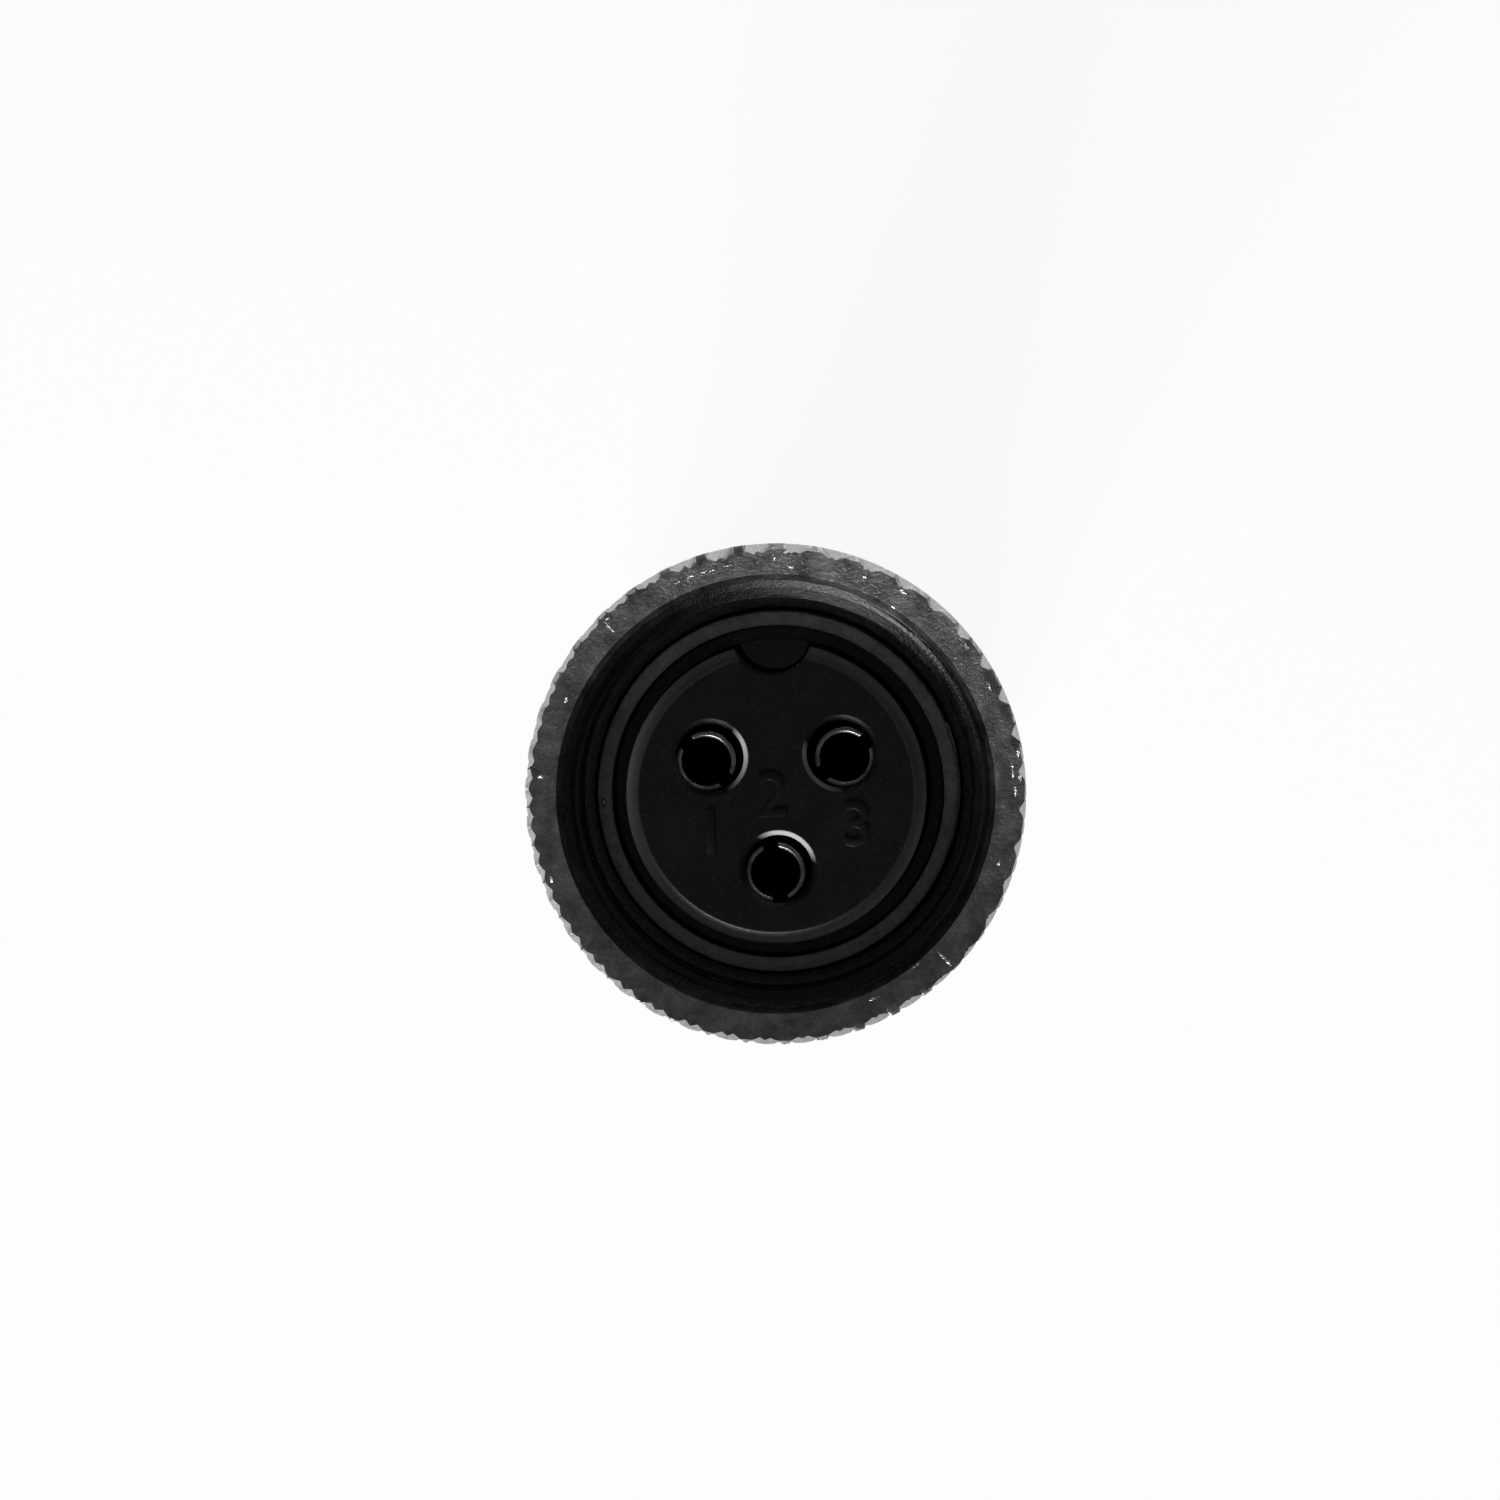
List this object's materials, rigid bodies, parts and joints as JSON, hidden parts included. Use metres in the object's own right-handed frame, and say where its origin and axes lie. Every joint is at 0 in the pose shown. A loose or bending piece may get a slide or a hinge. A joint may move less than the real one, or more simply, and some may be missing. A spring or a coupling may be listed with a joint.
{
  "type": "aviation connector",
  "caption": "Circular cable plug with socket contacts in a keyed insert, a knurled coupling nut that turns freely, and a screwed cable clamp.",
  "frame": {"origin": "centre of the tail end, on the plug's axis, in the plane that the plug stands on", "axes": "+Z along the plug's axis towards the mating face, +Y towards the keyway and the loose clamp strap"},
  "size_m": [0.019, 0.019, 0.037],
  "materials": {
    "nut_nickel": "satin nickel plate with a fine cast grain, light scratches and bright nicks on the edges",
    "barrel_nickel": "dull nickel plate with a coarse cast grain",
    "shell_nickel": "smooth satin nickel plate",
    "spring_steel": "plain spring steel",
    "screw_steel": "bright plated steel",
    "contact_silver": "silver plate, turned",
    "black_moulding": "black moulded plastic, half gloss, fine grain on the face",
    "sleeve_plastic": "milky plastic tube"
  },
  "bodies": {
    "plug_body": {"barrel": "barrel_nickel", "nut_retaining_ring": "spring_steel", "contact_insert": "black_moulding", "rear_insulator": "black_moulding", "insert_retaining_ring": "spring_steel", "socket_contact_1": "contact_silver", "socket_contact_2": "contact_silver", "socket_contact_3": "contact_silver", "backshell": "shell_nickel", "locking_screw": "screw_steel", "insulating_sleeve": "sleeve_plastic", "clamp_strap": "shell_nickel", "clamp_screw_right": "screw_steel", "clamp_screw_left": "screw_steel", "clamp_washer_right": "spring_steel", "clamp_washer_left": "spring_steel"},
    "nut": {"coupling_nut": "nut_nickel"}
  },
  "joints": [
    {"name": "nut_turn", "type": "hinge", "parent": "plug_body", "child": "nut", "pos_m": [0, 0, 0.031], "axis": [0, 0, 1], "continuous": true}
  ]
}
